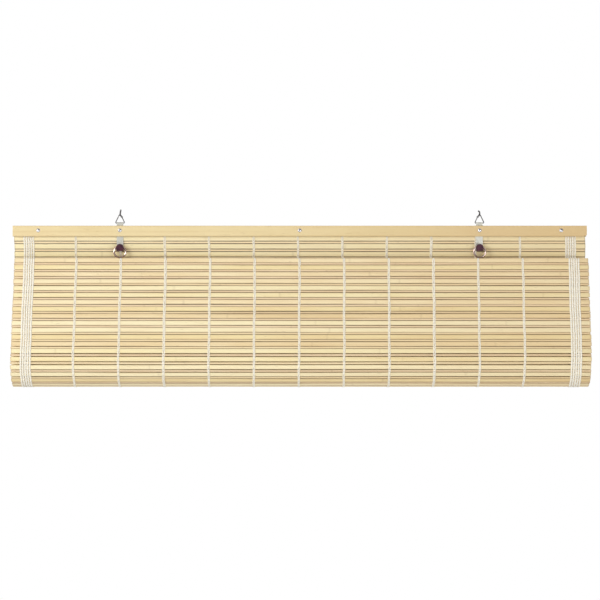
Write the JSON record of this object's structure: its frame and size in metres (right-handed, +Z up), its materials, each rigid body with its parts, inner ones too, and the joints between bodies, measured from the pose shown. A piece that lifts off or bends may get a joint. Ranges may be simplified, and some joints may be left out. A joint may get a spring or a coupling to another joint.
{
  "type": "bamboo roll up blind",
  "caption": "Bamboo blind with a nailed lath headrail, rolled up about halfway and hung by wire triangles from screw hooks.",
  "frame": {"origin": "on the wall, midway between the axes of the two hook shanks", "axes": "+X along the headrail, to the right as seen from the room; +Y into the wall; +Z up"},
  "size_m": [0.9012, 0.1098, 0.2782],
  "materials": {
    "bamboo_lath": "planed bamboo lath, clear and slightly satin",
    "bamboo_slat": "split bamboo slat, satin skin with fine lengthwise grain",
    "bamboo_stick": "thin split bamboo stick, satin",
    "cotton_cord": "natural white cotton cord, twined",
    "strap_steel": "bright zinc plated strip",
    "hanger_wire": "bright drawn steel wire",
    "hook_steel": "bright steel wood screw hook",
    "ring_nickel": "nickel plated ring",
    "nail_nickel": "nickel plated domed nail",
    "brown_plastic": "glossy dark red-brown moulded plastic"
  },
  "bodies": {
    "hooks": {"left_screw_hook": "hook_steel", "left_wire_hanger": "hanger_wire", "right_screw_hook": "hook_steel", "right_wire_hanger": "hanger_wire"},
    "blind": {"back_lath": "bamboo_lath", "falling_slats": "bamboo_slat", "falling_sticks": "bamboo_stick", "front_lath": "bamboo_lath", "front_slats": "bamboo_slat", "front_sticks": "bamboo_stick", "headrail_nails": "nail_nickel", "inner_turns": "bamboo_slat", "left_edge_band": "cotton_cord", "left_strap": "strap_steel", "left_tab": "brown_plastic", "mat_top_slat": "bamboo_slat", "right_edge_band": "cotton_cord", "right_strap": "strap_steel", "right_tab": "brown_plastic", "underside_slats": "bamboo_slat", "underside_sticks": "bamboo_stick", "warp_01": "cotton_cord", "warp_02": "cotton_cord", "warp_03": "cotton_cord", "warp_04": "cotton_cord", "warp_05": "cotton_cord", "warp_06": "cotton_cord", "warp_07": "cotton_cord", "warp_08": "cotton_cord", "warp_09": "cotton_cord", "warp_10": "cotton_cord", "warp_11": "cotton_cord"},
    "left_ring": {"left_ring": "ring_nickel"},
    "right_ring": {"right_ring": "ring_nickel"}
  },
  "joints": [
    {"name": "blind_swing", "type": "hinge", "parent": "hooks", "child": "blind", "pos_m": [0, -0.025, -0.011], "axis": [-1, 0, 0], "range_deg": [0, 80]},
    {"name": "left_ring_swing", "type": "hinge", "parent": "blind", "child": "left_ring", "pos_m": [-0.282, -0.02983, -0.048], "axis": [-1, 0, 0], "range_deg": [-10, 120]},
    {"name": "right_ring_swing", "type": "hinge", "parent": "blind", "child": "right_ring", "pos_m": [0.282, -0.02983, -0.048], "axis": [-1, 0, 0], "range_deg": [-10, 120]}
  ]
}
